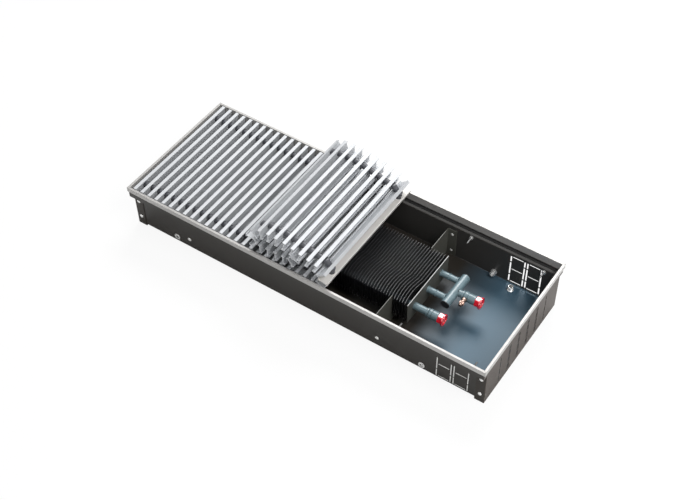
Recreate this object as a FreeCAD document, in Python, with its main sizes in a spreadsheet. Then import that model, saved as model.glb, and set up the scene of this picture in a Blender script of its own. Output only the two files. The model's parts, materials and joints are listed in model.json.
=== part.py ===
import FreeCAD, Part
import math
import os
import re

import Sketcher
from FreeCAD import Placement, Rotation, Vector

# A trench convector heater: a sheet steel tray with an aluminium edge frame, a finned
# heat exchanger on two brackets, and a roll-up grille that is shown partly rolled up.
# X runs along the tray, Y across it, Z up. The origin is the middle of its footprint.

SIZES = (
    # tray
    ("tray_length", 800.0), ("tray_width", 295.8), ("tray_height", 107.5),
    ("sheet", 1.0), ("rim_inset", 1.5), ("end_inset", 2.3), ("wall_inset", 14.2),
    ("ledge_drop", 23.0), ("floor_lift", 4.5), ("hole_clearance", 0.05),
    # end caps
    ("cap_flange", 20.0), ("cap_flange_drop", 25.0),
    # edge frame
    ("rail_width", 4.7), ("rail_wall", 1.2), ("rail_outer_leg", 10.5), ("rail_inner_leg", 17.0),
    # strips that the grille rests on
    ("cushion_width", 6.0), ("cushion_height", 1.9),
    # rivets
    ("rivet_head_width", 8.0), ("rivet_head_height", 1.8), ("rivet_shank_width", 4.0),
    ("rivet_tail_width", 6.0), ("rivet_tail_height", 1.2), ("cap_rivet_place", 10.0),
    ("cap_rivet_upper_drop", 43.0), ("cap_rivet_lower_drop", 85.0),
    # knock-outs in the side walls
    ("knockout_slot", 2.0), ("knockout_window_width", 29.0), ("knockout_window_gap", 4.0),
    ("knockout_from_end", 38.0), ("knockout_top_drop", 28.5), ("knockout_bottom_drop", 98.0),
    ("knockout_bar_drop", 62.0), ("knockout_bridge", 2.5), ("knockout_bridge_upper_drop", 46.0),
    ("knockout_bridge_lower_drop", 80.0),
    # knock-outs in the end wall beside the pipes
    ("end_window_pitch", 33.7), ("end_window_count", 5.0), ("end_window_top_drop", 29.0),
    ("end_window_bottom_drop", 97.0), ("end_column_gap", 4.0), ("end_bridge_upper_drop", 41.0),
    ("end_bridge_middle_drop", 60.0), ("end_bridge_lower_drop", 81.0),
    # rivet nuts
    ("nut_flange_width", 13.5), ("nut_flange_height", 1.0), ("nut_body_width", 11.0),
    ("nut_body_length", 12.0), ("nut_bore_width", 6.8), ("wall_nut_left_place", 102.5),
    ("wall_nut_right_place", 133.0), ("wall_nut_drop", 92.0), ("floor_nut_from_end", 88.0),
    ("floor_nut_from_edge", 31.8),
    # side fixing screws under the ledge
    ("side_nut_width", 8.0), ("side_nut_length", 4.0), ("side_screw_width", 3.0),
    ("side_screw_length", 17.0), ("side_screw_tip_gap", 0.5), ("side_screw_drop", 29.0),
    ("side_screw_outer_place", 33.0), ("side_screw_inner_place", 188.0),
    # heat exchanger
    ("exchanger_left", 108.0), ("exchanger_from_right", 202.5), ("end_plate", 1.5),
    ("end_plate_rim", 0.9), ("fin_pitch", 5.75), ("fin_thickness", 0.45),
    ("fin_width", 144.0), ("fin_top_drop", 35.0),
    ("fin_offset", 1.1), ("fin_bow", 4.0), ("fin_bow_width", 66.0), ("tube_width", 12.0),
    ("tube_wall", 1.0), ("tube_from_edge", 24.5), ("tube_drop", 58.0), ("tube_to_header", 1.0),
    ("bracket_fin_count", 6.0), ("exchanger_seat_gap", 0.1),
    # brackets under the heat exchanger
    ("bracket_sheet", 1.2), ("bracket_top_drop", 32.0), ("bracket_sill", 16.9),
    ("bracket_lap", 2.95),
    ("bracket_flange", 20.0), ("bracket_tab", 11.0), ("bracket_rivet_place", 10.0),
    ("bracket_rivet_upper_drop", 45.0), ("bracket_rivet_lower_drop", 89.0),
    ("bracket_front_rivet_drop", 81.0),
    # headers
    ("header_width", 18.0), ("header_wall", 1.5), ("header_overhang", 14.5),
    ("supply_header_from_right", 157.0), ("return_header_place", 60.0), ("plug_rim", 1.2),
    ("plug_depth", 4.0), ("plug_lip", 0.6),
    # fittings, caps and air vent
    ("fitting_neck_width", 14.0), ("fitting_collar_width", 17.0), ("fitting_collar_length", 5.0),
    ("fitting_body_width", 19.0), ("fitting_thread_width", 16.0), ("fitting_thread_length", 8.0),
    ("fitting_bore", 9.0), ("inlet_cap_from_right", 144.0), ("inlet_body_length", 20.0),
    ("outlet_cap_from_right", 107.0), ("outlet_body_length", 24.0), ("cap_width", 24.0),
    ("cap_length", 12.0), ("cap_face", 3.0), ("cap_recess_width", 16.0),
    ("cap_recess_depth", 1.6), ("cap_clearance", 0.1), ("cap_seat_gap", 0.3),
    ("vent_from_right", 133.0), ("vent_body_width", 10.0), ("vent_reach", 16.0),
    ("vent_screw_width", 7.0), ("vent_screw_head", 3.5), ("vent_pin_width", 3.9),
    ("vent_pin_length", 6.0), ("vent_slot_width", 1.0), ("vent_slot_depth", 1.2),
    ("vent_clearance", 0.05), ("vent_seat_gap", 0.2),
    # grille slats and what links them
    ("slat_height", 21.0), ("slat_width", 6.8), ("slat_web", 1.6), ("slat_flange", 1.8),
    ("slat_end_gap", 6.4), ("slat_pitch", 17.5), ("spacer_width", 12.0),
    ("spacer_bore", 5.2), ("spacer_nose_gap", 0.1), ("spacer_from_end", 28.75),
    ("core_width", 5.0),
    ("core_end_width", 10.0), ("core_end_height", 3.0), ("overrun", 5.0),
)

# Direction of each stretch of the rolled part, in degrees up from the flat grille, and how
# many slats it holds. The stretches follow each other from the flat part inwards.
ROLL_DEGREES = (42, 80, 125, 165, 171, 179, 191, 215, 265, 315, 362, 392, 434)
ROLL_COUNTS = (1, 1, 1, 4, 1, 2, 1, 1, 1, 1, 4, 1, 1)

# Sizes that follow from others
DERIVED = (
    ("exchanger_right", "tray_length - exchanger_from_right"),
    ("supply_header_place", "tray_length - supply_header_from_right"),
    ("inlet_cap_place", "tray_length - inlet_cap_from_right"),
    ("outlet_cap_place", "tray_length - outlet_cap_from_right"),
    ("vent_place", "tray_length - vent_from_right"),
    ("fin_height", "tray_height - fin_top_drop - exchanger_seat_gap - bracket_sill"
                   " - floor_lift - sheet"),
    ("end_plate_height", "fin_height"),
    ("end_plate_width", "fin_width + 2 * end_plate_rim"),
    ("bracket_opening", "fin_width - 2 * bracket_lap"),
    ("tube_pitch", "fin_width / 2 - tube_from_edge"),
    ("fin_span", "exchanger_right - exchanger_left - 2 * end_plate"),
    ("fin_position_count", "floor(fin_span / fin_pitch) - 1"),
    ("slat_length", "tray_width - 2 * slat_end_gap"),
    ("spacer_row", "slat_length / 2 - spacer_from_end"),
    ("slat_count", "floor((tray_length - 2 * rail_width) / slat_pitch)"),
    ("flat_slat_count", "slat_count - %d" % sum(ROLL_COUNTS)),
)

document = FreeCAD.newDocument("trench_convector_heater")
sheet = document.addObject("Spreadsheet::Sheet", "sizes")
ROWS = SIZES + tuple((alias, "=" + formula) for alias, formula in DERIVED)
for row, (alias, content) in enumerate(ROWS, 1):
    sheet.set("A%d" % row, alias)
    sheet.set("B%d" % row, str(content))
    sheet.setAlias("B%d" % row, alias)
document.recompute()

ALIASES = {alias for alias, content in ROWS}
nodes = []


def mm(alias):
    """The value of one cell of the sheet."""
    return float(sheet.get(alias))


def bind(thing, name, formula):
    """Ties one size of an object to a formula in the sheet's words."""
    if not isinstance(formula, str):
        formula = repr(formula)
    text = re.sub(r"[a-z][a-z_]+", lambda m: "sizes." + m.group(0) if m.group(0) in ALIASES
                  else m.group(0), formula)
    thing.setExpression(name, text)


def move(thing, x, y, z):
    """Places an object by three formulas."""
    bind(thing, "Placement.Base.x", x)
    bind(thing, "Placement.Base.y", y)
    bind(thing, "Placement.Base.z", z)
    return thing


def block(name, length, width, height, x, y, z):
    """A box by its sizes and the formulas of its centre in X and Y and of its underside."""
    made = document.addObject("Part::Box", name)
    bind(made, "Length", length)
    bind(made, "Width", width)
    bind(made, "Height", height)
    return move(made, "%s - (%s) / 2" % (x, length), "%s - (%s) / 2" % (y, width), z)


TURNS = {"X": Rotation(Vector(0, 1, 0), 90), "Y": Rotation(Vector(1, 0, 0), -90),
         "Z": Rotation(), "-Y": Rotation(Vector(1, 0, 0), 90)}


def rod(name, width, length, axis, x, y, z):
    """A cylinder of a given width that starts at a point and runs along an axis."""
    made = document.addObject("Part::Cylinder", name)
    bind(made, "Radius", "(%s) / 2" % width)
    bind(made, "Height", length)
    made.Placement = Placement(Vector(), TURNS[axis])
    return move(made, x, y, z)


def dome(name, width, height, axis, x, y, z):
    """Half an ellipsoid that stands on a point and bulges along an axis."""
    made = document.addObject("Part::Ellipsoid", name)
    bind(made, "Radius1", height)
    bind(made, "Radius2", "(%s) / 2" % width)
    bind(made, "Radius3", "(%s) / 2" % width)
    made.Angle1 = 0
    made.Angle2 = 90
    made.Placement = Placement(Vector(), TURNS[axis])
    return move(made, x, y, z)


def group(name, pieces):
    """Separate solids kept together."""
    made = document.addObject("Part::Compound", name)
    made.Links = pieces
    return made


def join(name, pieces):
    """Pieces of one solid, fused."""
    made = document.addObject("Part::MultiFuse", name)
    made.Shapes = pieces
    made.Refine = True
    return made


def cut(name, base, tools):
    """A solid less the tools."""
    made = document.addObject("Part::Cut", name)
    made.Base = base
    made.Tool = tools[0] if len(tools) == 1 else join(name + "_tools", tools)
    return made


def outline(body, name, role, points):
    """A closed sketch of straight lines whose corners are bound to the sheet."""
    sketch = body.newObject("Sketcher::SketchObject", name)
    plane = [f for f in body.Origin.OriginFeatures if f.Role == role][0]
    sketch.AttachmentSupport = [(plane, "")]
    sketch.MapMode = "FlatFace"
    count = len(points)
    for index in range(count):
        start = Vector(index, index * index, 0)
        end = Vector(index + 1, (index + 1) * (index + 1), 0)
        sketch.addGeometry(Part.LineSegment(start, end), False)
    for index in range(count):
        sketch.addConstraint(Sketcher.Constraint("Coincident", index, 2, (index + 1) % count, 1))
    for index, (across, up) in enumerate(points):
        for kind, formula in (("DistanceX", across), ("DistanceY", up)):
            number = sketch.addConstraint(Sketcher.Constraint(kind, -1, 1, index, 1, 1.0))
            sketch.renameConstraint(number, "%s_%d" % (kind, index))
            bind(sketch, "Constraints.%s_%d" % (kind, index), formula)
    return sketch


def extrusion(name, role, points, length):
    """A body padded evenly to both sides of an origin plane from a closed outline."""
    body = document.addObject("PartDesign::Body", name)
    sketch = outline(body, name + "_outline", role, points)
    pad = body.newObject("PartDesign::Pad", name + "_pad")
    pad.Profile = sketch
    pad.SideType = "Symmetric"
    bind(pad, "Length", length)
    body.Tip = pad
    return body


def copies(label, source, placements):
    """One node that holds the same solid at several places."""
    document.recompute()
    made = document.addObject("Part::Feature", label)
    solids = [solid for solid in source.Shape.Solids]
    made.Shape = Part.makeCompound([solid.transformed(place.toMatrix(), True)
                                    for place in placements for solid in solids])
    return node(made, label)


def node(thing, label):
    """Marks an object as one named piece of the heater."""
    thing.Label = label
    nodes.append(thing)
    return thing


def mirrored(points):
    """The points and their mirror images on the other side of the middle."""
    return points + [("-(%s)" % across, up) for across, up in reversed(points)]


# Formulas that several pieces share
RIM = "tray_width / 2 - rim_inset"
WALL = "tray_width / 2 - wall_inset"
LEDGE = "tray_height - ledge_drop"
FLOOR = "floor_lift + sheet"
CAP_FACE = "tray_length / 2 - end_inset"
TUBE_HEIGHT = "tray_height - tube_drop"


def along(place):
    """The X of a place that is measured from the tray's left end."""
    return "%s - tray_length / 2" % place


def below(drop):
    """The Z of a place that is measured down from the frame's top."""
    return "tray_height - %s" % drop


def signed(side, formula):
    """A formula, or its negative on the other side."""
    return "(%s)" % formula if side > 0 else "-(%s)" % formula


# Tray: one folded sheet with a ledge and an upright rim on both long sides
def wall_rivet_places():
    """X and Z of each rivet through both the end caps' flanges and the walls."""
    places = []
    for side in (-1, 1):
        for drop in ("cap_rivet_upper_drop", "cap_rivet_lower_drop"):
            places.append((signed(side, CAP_FACE + " - cap_rivet_place"), below(drop)))
    return places


def bracket_x(side):
    """The X of a bracket's plate, in the place of one fin."""
    pitch = "(fin_span / (fin_position_count + 1))"
    if side > 0:
        place = "exchanger_right - end_plate - bracket_fin_count * " + pitch
    else:
        place = "exchanger_left + end_plate + bracket_fin_count * " + pitch
    return along("(%s)" % place)


def bracket_rivet_places():
    """X, Z and side of each rivet that holds a bracket to a wall."""
    places = []
    for side in (-1, 1):
        x = "%s + %s" % (bracket_x(side), signed(side, "bracket_rivet_place"))
        places.append((x, below("bracket_rivet_upper_drop"), 1))
        places.append((x, below("bracket_rivet_lower_drop"), 1))
        places.append((x, below("bracket_front_rivet_drop"), -1))
    return places


def wall_nut_places():
    """X of the rivet nuts in the long walls."""
    return (along("wall_nut_left_place"), "tray_length / 2 - wall_nut_right_place")


def floor_nut_places():
    """X and Y of the rivet nuts in the floor."""
    return [(signed(a, "tray_length / 2 - floor_nut_from_end"),
             signed(b, "tray_width / 2 - floor_nut_from_edge")) for a in (-1, 1) for b in (-1, 1)]


def side_knockouts():
    """Slots of the two punched windows near the right end, cut through both long walls."""
    slots = []
    height = "knockout_bottom_drop - knockout_top_drop"
    outer = "tray_length / 2 - knockout_from_end"
    step = "(knockout_window_width + knockout_slot + knockout_window_gap)"
    for window in range(2):
        right = "(%s - %d * %s)" % (outer, window, step)
        left = "(%s - knockout_window_width)" % right
        middle = "(%s - knockout_window_width / 2)" % right
        for number, x in enumerate((left, right)):
            upright = block("side_upright_%d_%d" % (window, number), "knockout_slot",
                            "tray_width", height, x, 0, below("knockout_bottom_drop"))
            bridges = []
            for index, drop in enumerate(("knockout_bridge_upper_drop",
                                          "knockout_bridge_lower_drop")):
                bridges.append(block("side_bridge_%d_%d_%d" % (window, number, index),
                                     "knockout_slot + overrun", "tray_width + overrun",
                                     "knockout_bridge", x, 0, below(drop)))
            slots.append(cut("side_slot_%d_%d" % (window, number), upright, bridges))
        for number, drop in enumerate(("knockout_top_drop + knockout_slot",
                                       "knockout_bar_drop + knockout_slot",
                                       "knockout_bottom_drop")):
            bar = "knockout_window_width - knockout_slot - knockout_bridge * 2"
            slots.append(block("side_bar_%d_%d" % (window, number), bar, "tray_width",
                               "knockout_slot", middle, 0, "tray_height - (%s)" % drop))
    return slots


def tray():
    """The trough with its holes."""
    profile = mirrored([
        (RIM, below("rail_wall")),
        (RIM, LEDGE + " - sheet"),
        (WALL, LEDGE + " - sheet"),
        (WALL, "floor_lift"),
    ]) + [("-(%s - sheet)" % a, u) for a, u in (
        (RIM, below("rail_wall")), (RIM, LEDGE), (WALL, LEDGE), (WALL, FLOOR))]
    profile += [("%s - sheet" % a, u) for a, u in (
        (WALL, FLOOR), (WALL, LEDGE), (RIM, LEDGE), (RIM, below("rail_wall")))]
    folded = extrusion("folded_sheet", "YZ_Plane", profile, "2 * (%s - sheet)" % CAP_FACE)
    holes = side_knockouts()
    shank = "rivet_shank_width + 2 * hole_clearance"
    for number, (x, z) in enumerate(wall_rivet_places()):
        holes.append(rod("cap_rivet_hole_%d" % number, shank, "tray_width", "Y", x,
                         "-tray_width / 2", z))
    for number, (x, z, side) in enumerate(bracket_rivet_places()):
        holes.append(rod("bracket_rivet_hole_%d" % number, shank, "tray_width / 2",
                         "Y" if side > 0 else "-Y", x, 0, z))
    body_hole = "nut_body_width + 2 * hole_clearance"
    for number, x in enumerate(wall_nut_places()):
        holes.append(rod("wall_nut_hole_%d" % number, body_hole, "tray_width", "Y", x,
                         "-tray_width / 2", below("wall_nut_drop")))
    for number, (x, y) in enumerate(floor_nut_places()):
        holes.append(rod("floor_nut_hole_%d" % number, body_hole, FLOOR, "Z", x, y, 0))
    node(cut("tray_trough", folded, holes), "tray_trough")


def end_window_slots(side):
    """The punched columns of the end wall beside the pipes, each crossed by three bridges."""
    slots = []
    count = int(mm("end_window_count"))
    for column in range(count + 1):
        middle = "%r * end_window_pitch" % (column - count / 2)
        if column in (0, count):
            places = [middle]
        else:
            places = [middle + " - end_column_gap / 2", middle + " + end_column_gap / 2"]
        for number, y in enumerate(places):
            name = "end_slot_%d_%d" % (column, number)
            upright = block(name + "_upright", "sheet + 2 * overrun", "knockout_slot",
                            "end_window_bottom_drop - end_window_top_drop",
                            signed(side, CAP_FACE), y, below("end_window_bottom_drop"))
            bridges = [block("%s_bridge_%d" % (name, index), "sheet + 3 * overrun",
                             "knockout_slot + overrun", "knockout_bridge",
                             signed(side, CAP_FACE), y, below(drop))
                       for index, drop in enumerate(("end_bridge_upper_drop",
                                                     "end_bridge_middle_drop",
                                                     "end_bridge_lower_drop"))]
            slots.append(cut(name, upright, bridges))
    return slots


def end_cap(side, label):
    """A folded cap over one end of the tray, with flanges round the walls and the floor."""
    face = signed(side, CAP_FACE + " - sheet / 2")
    flange = signed(side, CAP_FACE + " - cap_flange / 2")
    wide = "2 * (%s)" % RIM
    narrow = "2 * (%s + sheet)" % WALL
    pieces = [
        block(label + "_head", "sheet", wide, "ledge_drop + sheet - rail_wall", face, 0,
              LEDGE + " - sheet"),
        block(label + "_plate", "sheet", narrow, LEDGE + " - sheet", face, 0, 0),
        block(label + "_foot", "cap_flange", narrow, "sheet", flange, 0, 0),
    ]
    for number, hand in enumerate((-1, 1)):
        pieces.append(block("%s_flange_%d" % (label, number), "cap_flange", "sheet",
                            below("cap_flange_drop"), flange,
                            signed(hand, WALL + " + sheet / 2"), 0))
    folded = join(label + "_folded", pieces)
    holes = []
    for number, (x, z) in enumerate(wall_rivet_places()[:2] if side < 0
                                    else wall_rivet_places()[2:]):
        holes.append(rod("%s_hole_%d" % (label, number), "rivet_shank_width + 2 * hole_clearance",
                         "tray_width", "Y", x, "-tray_width / 2", z))
    if side > 0:
        holes += end_window_slots(side)
    node(cut(label, folded, holes), label)


# Edge frame: four lengths of an inverted U profile with mitred ends
def rail(label, role, length, edge, hand):
    """One rail whose outer face lies on an edge of the tray, seen from above."""
    outer = edge
    inner = "(%s - rail_width)" % edge
    profile = [
        (outer, "tray_height"), (outer, below("rail_outer_leg")),
        (outer + " - rail_wall", below("rail_outer_leg")),
        (outer + " - rail_wall", below("rail_wall")),
        (inner + " + rail_wall", below("rail_wall")),
        (inner + " + rail_wall", below("rail_inner_leg")),
        (inner, below("rail_inner_leg")), (inner, "tray_height"),
    ]
    if hand < 0:
        profile = [("-(%s)" % across, up) for across, up in profile]
    straight = extrusion(label + "_profile", role, profile, length)
    if role == "YZ_Plane":
        ends = "tray_length / 2"
        waste = [[(signed(s, ends), signed(hand, inner)), (signed(s, ends), signed(hand, outer)),
                  (signed(s, ends + " - rail_width"), signed(hand, inner))] for s in (-1, 1)]
    else:
        ends = "tray_width / 2"
        waste = [[(signed(hand, inner), signed(s, ends)), (signed(hand, outer), signed(s, ends)),
                  (signed(hand, inner), signed(s, ends + " - rail_width"))] for s in (-1, 1)]
    reach = "2 * (tray_height + overrun)"
    tools = [extrusion("%s_waste_%d" % (label, number), "XY_Plane", points, reach)
             for number, points in enumerate(waste)]
    node(cut(label, straight, tools), label)


def frame():
    """The four rails."""
    rail("frame_rail_front", "YZ_Plane", "tray_length", "tray_width / 2", -1)
    rail("frame_rail_back", "YZ_Plane", "tray_length", "tray_width / 2", 1)
    rail("frame_rail_left", "XZ_Plane", "tray_width", "tray_length / 2", -1)
    rail("frame_rail_right", "XZ_Plane", "tray_width", "tray_length / 2", 1)


def cushions():
    """The rubber strips on the two ledges."""
    strips = [block("cushion_%d" % number, "2 * (%s - sheet)" % CAP_FACE, "cushion_width",
                    "cushion_height", 0, signed(hand, RIM + " - sheet - cushion_width / 2"), LEDGE)
              for number, hand in enumerate((-1, 1))]
    node(group("ledge_cushions", strips), "ledge_cushions")


# Fasteners
def rivet(name, grip):
    """A blind rivet along +Y: its head's underside is at the origin, the grip runs to -Y."""
    return join(name, [
        dome(name + "_head", "rivet_head_width", "rivet_head_height", "Y", 0, 0, 0),
        rod(name + "_shank", "rivet_shank_width", grip, "-Y", 0, 0, 0),
        dome(name + "_tail", "rivet_tail_width", "rivet_tail_height", "-Y", 0,
             "-(%s)" % grip, 0),
    ])


def spot(x, y, z, half_turn=False):
    """A placement from three numbers, turned half round the upright axis where asked."""
    return Placement(Vector(x, y, z), Rotation(Vector(0, 0, 1), 180 if half_turn else 0))


def rivets():
    """The rivets through the end caps, heads outside, and those of the brackets."""
    half = mm("tray_width") / 2 - mm("wall_inset")
    x = mm("tray_length") / 2 - mm("end_inset") - mm("cap_rivet_place")
    source = rivet("cap_rivet", "2 * sheet")
    places = []
    for side in (-1, 1):
        for drop in ("cap_rivet_upper_drop", "cap_rivet_lower_drop"):
            for hand in (-1, 1):
                places.append(spot(side * x, hand * (half + mm("sheet")),
                                   mm("tray_height") - mm(drop), hand < 0))
    copies("end_cap_rivets", source, places)
    source = rivet("bracket_rivet", "sheet + bracket_sheet")
    places = []
    for side in (-1, 1):
        x = bracket_position(side) + side * mm("bracket_rivet_place")
        for drop, hand in (("bracket_rivet_upper_drop", 1), ("bracket_rivet_lower_drop", 1),
                           ("bracket_front_rivet_drop", -1)):
            places.append(spot(x, hand * half, mm("tray_height") - mm(drop), hand < 0))
    copies("bracket_rivets", source, places)


def rivet_nut(name):
    """A rivet nut along +Z: its flange is under the origin, its body above."""
    solid = join(name + "_solid", [
        rod(name + "_flange", "nut_flange_width", "nut_flange_height", "Z", 0, 0,
            "-nut_flange_height"),
        rod(name + "_body", "nut_body_width", "nut_body_length", "Z", 0, 0, 0),
    ])
    return cut(name, solid, [rod(name + "_bore", "nut_bore_width",
                                 "nut_body_length + 2 * overrun", "Z", 0, 0, "-overrun")])


def nuts():
    """The rivet nuts of the long walls, bodies inside, and those of the floor, bodies up."""
    source = rivet_nut("rivet_nut")
    half = mm("tray_width") / 2 - mm("wall_inset")
    z = mm("tray_height") - mm("wall_nut_drop")
    places = []
    for x in (mm("wall_nut_left_place") - mm("tray_length") / 2,
              mm("tray_length") / 2 - mm("wall_nut_right_place")):
        places.append(Placement(Vector(x, -half, z), Rotation(Vector(1, 0, 0), -90)))
        places.append(Placement(Vector(x, half, z), Rotation(Vector(1, 0, 0), 90)))
    copies("wall_rivet_nuts", source, places)
    x = mm("tray_length") / 2 - mm("floor_nut_from_end")
    y = mm("tray_width") / 2 - mm("floor_nut_from_edge")
    places = [spot(a * x, b * y, mm("floor_lift")) for a in (-1, 1) for b in (-1, 1)]
    copies("floor_rivet_nuts", source, places)


def side_screws():
    """Small nuts welded under the ledge with a screw in each that points into the tray."""
    nut = cut("side_nut", rod("side_nut_solid", "side_nut_width", "side_nut_length", "Y", 0, 0, 0),
              [rod("side_nut_bore", "side_screw_width + 2 * hole_clearance",
                   "side_nut_length + 2 * overrun", "Y", 0, "-overrun", 0)])
    screw = rod("side_screw", "side_screw_width", "side_screw_length", "Y", 0,
                "side_screw_tip_gap", 0)
    y = mm("tray_width") / 2 - mm("wall_inset") - mm("sheet")
    z = mm("tray_height") - mm("side_screw_drop")
    places = []
    for place in ("side_screw_outer_place", "side_screw_inner_place"):
        for side in (-1, 1):
            x = side * (mm("tray_length") / 2 - mm(place))
            places.append(spot(x, -y, z))
            places.append(spot(x, y, z, True))
    copies("side_fixing_nuts", nut, places)
    copies("side_fixing_screws", screw, places)


# Heat exchanger
def fin_step():
    """Distance from one fin to the next."""
    return mm("fin_span") / (mm("fin_position_count") + 1)


def bracket_position(side):
    """The X of a bracket's plate as a number."""
    reach = mm("bracket_fin_count") * fin_step() + mm("end_plate")
    if side > 0:
        return mm("exchanger_right") - reach - mm("tray_length") / 2
    return mm("exchanger_left") + reach - mm("tray_length") / 2


def bracket(side, label):
    """An upright plate across the tray, cut out for the fins, with flanges and a shelf."""
    x = bracket_x(side)
    width = "2 * (%s - sheet)" % WALL
    height = "%s - (%s)" % (below("bracket_top_drop"), FLOOR)
    plate = cut(label + "_plate", block(label + "_sheet", "bracket_sheet", width, height, x, 0,
                                        FLOOR),
                [block(label + "_opening", "bracket_sheet + 2 * overrun", "bracket_opening",
                       "fin_height + fin_top_drop", x, "fin_offset",
                       below("fin_top_drop - fin_height - exchanger_seat_gap"))])
    pieces = [plate, block(label + "_shelf", "bracket_tab", "bracket_opening", "bracket_sheet",
                           "%s + %s" % (x, signed(side, "bracket_tab / 2 - bracket_sheet / 2")),
                           "fin_offset", "%s - bracket_sheet" % below(
                               "fin_top_drop - fin_height - exchanger_seat_gap"))]
    for number, hand in enumerate((-1, 1)):
        pieces.append(block("%s_flange_%d" % (label, number), "bracket_flange", "bracket_sheet",
                            height,
                            "%s + %s" % (x, signed(side, "bracket_flange / 2 - bracket_sheet / 2")),
                            signed(hand, WALL + " - sheet - bracket_sheet / 2"), FLOOR))
    holes = []
    for number, (rivet_x, z, hand) in enumerate(bracket_rivet_places()[:3] if side < 0
                                                else bracket_rivet_places()[3:]):
        holes.append(rod("%s_hole_%d" % (label, number),
                         "rivet_shank_width + 2 * hole_clearance", "tray_width / 2",
                         "Y" if hand > 0 else "-Y", rivet_x, 0, z))
    node(cut(label, join(label + "_folded", pieces), holes), label)


def tube_holes(name, x, length, clearance):
    """Three rods on the tubes' axes, as tools for holes."""
    return [rod("%s_%d" % (name, number), "tube_width + 2 * %s" % clearance, length, "X", x,
                "%d * tube_pitch" % number, TUBE_HEIGHT) for number in (-1, 0, 1)]


def fins():
    """The fins: upright sheets that are straight at the back and bowed towards the front."""
    half = mm("fin_thickness") / 2
    back = mm("fin_offset") + mm("fin_width") / 2
    front = mm("fin_offset") - mm("fin_width") / 2
    bend = front + mm("fin_bow_width")
    middle = (front + bend) / 2

    def side_line(x):
        straight = Part.LineSegment(Vector(x, back, 0), Vector(x, bend, 0))
        bow = Part.Arc(Vector(x, bend, 0), Vector(x - mm("fin_bow"), middle, 0),
                       Vector(x, front, 0))
        return [straight.toShape(), bow.toShape()]

    right = side_line(half)
    left = side_line(-half)
    caps = [Part.LineSegment(Vector(-half, y, 0), Vector(half, y, 0)).toShape()
            for y in (back, front)]
    outline_wire = Part.Wire(Part.__sortEdges__(right + left + caps))
    fin = Part.Face(outline_wire).extrude(Vector(0, 0, mm("fin_height")))
    bottom = mm("tray_height") - mm("fin_top_drop") - mm("fin_height")
    rise = mm("tray_height") - mm("tube_drop") - bottom
    radius = mm("tube_width") / 2 + mm("hole_clearance")
    for number in (-1, 0, 1):
        start = Vector(-mm("fin_bow") - mm("overrun"), number * mm("tube_pitch"), rise)
        fin = fin.cut(Part.makeCylinder(radius, mm("fin_bow") + 2 * mm("overrun"), start,
                                        Vector(1, 0, 0)))
    made = document.addObject("Part::Feature", "fin")
    made.Shape = fin.Solids[0]
    count = int(mm("fin_position_count"))
    skipped = (int(mm("bracket_fin_count")), count + 1 - int(mm("bracket_fin_count")))
    left_face = mm("exchanger_left") + mm("end_plate") - mm("tray_length") / 2
    places = [spot(left_face + position * fin_step(), 0, bottom)
              for position in range(1, count + 1) if position not in skipped]
    copies("exchanger_fins", made, places)


def end_plates():
    """The plates that close the stack of fins at both ends."""
    plates = []
    for number, place in enumerate(("exchanger_left + end_plate / 2",
                                    "exchanger_right - end_plate / 2")):
        x = along("(%s)" % place)
        solid = block("end_plate_solid_%d" % number, "end_plate", "end_plate_width",
                      "end_plate_height", x, "fin_offset",
                      below("fin_top_drop - end_plate_height"))
        plates.append(cut("end_plate_%d" % number, solid,
                          tube_holes("end_plate_hole_%d" % number, x + " - overrun",
                                     "2 * overrun", "hole_clearance")))
    node(group("exchanger_end_plates", plates), "exchanger_end_plates")


def tubes():
    """Three tubes through the fins. The two at the back end in the supply header."""
    pieces = []
    start = "return_header_place + header_width / 2 - tube_to_header"
    for number in (-1, 0, 1):
        if number < 0:
            end = "(inlet_cap_place - cap_length / 2 - inlet_body_length)"
        else:
            end = "(supply_header_place - header_width / 2 + tube_to_header)"
        length = "%s - (%s)" % (end, start)
        y = "%d * tube_pitch" % number
        name = "tube_%d" % (number + 1)
        pieces.append(cut(name, rod(name + "_outside", "tube_width", length, "X",
                                    along("(%s)" % start), y, TUBE_HEIGHT),
                          [rod(name + "_inside", "tube_width - 2 * tube_wall",
                               length + " + 2 * overrun", "X", along("(%s - overrun)" % start),
                               y, TUBE_HEIGHT)]))
    node(group("exchanger_tubes", pieces), "exchanger_tubes")


def header(label, place, first, last, holes):
    """A pipe across the tube ends, open at both ends for its plugs."""
    start = "%s * tube_pitch - header_overhang" % first
    length = "(%s - %s) * tube_pitch + 2 * header_overhang" % (last, first)
    outside = rod(label + "_outside", "header_width", length, "Y", along(place), start,
                  TUBE_HEIGHT)
    inside = rod(label + "_inside", "header_width - 2 * header_wall", length + " + 2 * overrun",
                 "Y", along(place), start + " - overrun", TUBE_HEIGHT)
    node(cut(label, outside, [inside] + holes), label)


def headers():
    """The supply header of two tubes with its outlet, and the return header of all three."""
    holes = [rod("supply_hole_%d" % number, "tube_width + 2 * hole_clearance", "header_width / 2",
                 "X", along("(supply_header_place - header_width / 2)"),
                 "%d * tube_pitch" % number, TUBE_HEIGHT) for number in (0, 1)]
    holes.append(rod("supply_outlet_hole", "fitting_neck_width + 2 * hole_clearance",
                     "header_width / 2", "X", along("supply_header_place"), "tube_pitch / 2",
                     TUBE_HEIGHT))
    header("supply_header", "supply_header_place", 0, 1, holes)
    holes = [rod("return_hole_%d" % (number + 1), "tube_width + 2 * hole_clearance",
                 "header_width / 2", "X", along("return_header_place"),
                 "%d * tube_pitch" % number, TUBE_HEIGHT) for number in (-1, 0, 1)]
    header("return_header", "return_header_place", -1, 1, holes)


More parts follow.
